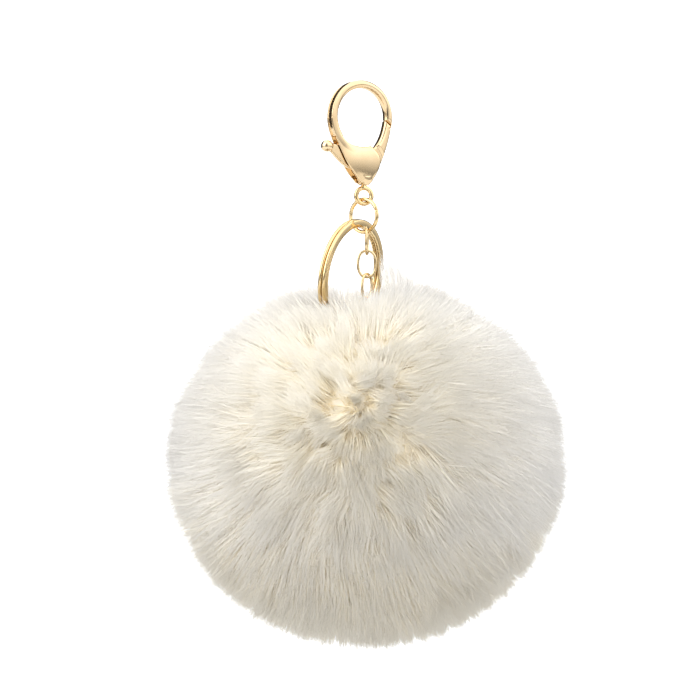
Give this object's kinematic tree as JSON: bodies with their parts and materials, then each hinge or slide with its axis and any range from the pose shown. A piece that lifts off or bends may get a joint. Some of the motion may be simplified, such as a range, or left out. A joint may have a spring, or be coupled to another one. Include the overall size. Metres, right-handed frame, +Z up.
{
  "type": "fur pom-pom keychain",
  "caption": "Bag charm and keychain: a soft cream faux-fur ball hangs by a fine chain from a gold lobster clasp with a split key ring.",
  "frame": {"origin": "highest point of the inside of the clasp's hook, where the keychain hangs", "axes": "+Z up along the hanging line, -Y towards the front, +X to the right of the front view; the clasp's plane is turned 35 degrees about +Z"},
  "size_m": [0.101, 0.101, 0.1464],
  "materials": {
    "clasp_gold": "polished",
    "ring_gold": "polished",
    "split_ring_gold": "polished",
    "chain_gold": "polished",
    "spring_steel": "satin",
    "washer_steel": "satin",
    "sewing_thread": "matte",
    "knit_backing": "matte",
    "polyester_fibre": "matte",
    "faux_fur": "matte"
  },
  "bodies": {
    "clasp": {"clasp_body": "clasp_gold", "lever_pin": "clasp_gold", "lever_spring": "spring_steel"},
    "gate": {"clasp_lever": "clasp_gold"},
    "eye": {"swivel_eye": "ring_gold"},
    "jump_ring": {"jump_ring": "ring_gold"},
    "split_ring": {"split_ring": "split_ring_gold"},
    "link_1": {"chain_link_1": "chain_gold"},
    "link_2": {"chain_link_2": "chain_gold"},
    "link_3": {"chain_link_3": "chain_gold"},
    "link_4": {"chain_link_4": "chain_gold"},
    "link_5": {"chain_link_5": "chain_gold"},
    "pom": {"anchor_ring": "ring_gold", "anchor_thread": "sewing_thread", "anchor_washer": "washer_steel", "gathering_thread": "sewing_thread", "fur_backing": "knit_backing", "fibre_filling": "polyester_fibre", "fur_pile": "faux_fur"}
  },
  "joints": [
    {"name": "gate_hinge", "type": "hinge", "parent": "clasp", "child": "gate", "pos_m": [0.00074, 0.00052, -0.0194], "axis": [0.5736, -0.8192, 0], "range_deg": [0, 22], "stiffness_Nm_per_rad": 0.01, "springref_deg": -45.84, "deforming": ["lever_spring"]},
    {"name": "eye_swivel", "type": "hinge", "parent": "clasp", "child": "eye", "pos_m": [0.0009, 0.00063, -0.0279], "axis": [0, 0, 1], "continuous": true},
    {"name": "jump_ring_swing", "type": "hinge", "parent": "eye", "child": "jump_ring", "pos_m": [0.0009, 0.00063, -0.02995], "axis": [0.9659, 0.2588, 0], "range_deg": [-22, 22]},
    {"name": "split_ring_swing", "type": "hinge", "parent": "jump_ring", "child": "split_ring", "pos_m": [-0.00079, 0.00195, -0.03677], "axis": [0.6824, -0.5332, -0.5], "range_deg": [-60, 60], "deforming": ["fur_pile"]},
    {"name": "link_1_swing", "type": "hinge", "parent": "jump_ring", "child": "link_1", "pos_m": [0.00195, -0.00019, -0.03714], "axis": [0.7494, -0.5855, 0.309], "range_deg": [-28, 16]},
    {"name": "link_2_swing", "type": "hinge", "parent": "link_1", "child": "link_2", "pos_m": [0.00171, 0, -0.04306], "axis": [0.0872, 0.9962, 0], "range_deg": [-40, 14]},
    {"name": "link_3_swing", "type": "hinge", "parent": "link_2", "child": "link_3", "pos_m": [0.00171, 0, -0.04906], "axis": [-0.9962, -0.0872, 0], "range_deg": [-28, 40]},
    {"name": "link_4_swing", "type": "hinge", "parent": "link_3", "child": "link_4", "pos_m": [0.00171, 0, -0.05506], "axis": [-0.5299, -0.848, 0], "range_deg": [-28, 40]},
    {"name": "link_5_swing", "type": "hinge", "parent": "link_4", "child": "link_5", "pos_m": [0.00171, 0, -0.06106], "axis": [0.9063, -0.4226, 0], "range_deg": [-40, 40]},
    {"name": "pom_swing", "type": "hinge", "parent": "link_5", "child": "pom", "pos_m": [0.00171, 0, -0.06709], "axis": [0.4226, 0.9063, 0], "range_deg": [-35, 35]}
  ]
}
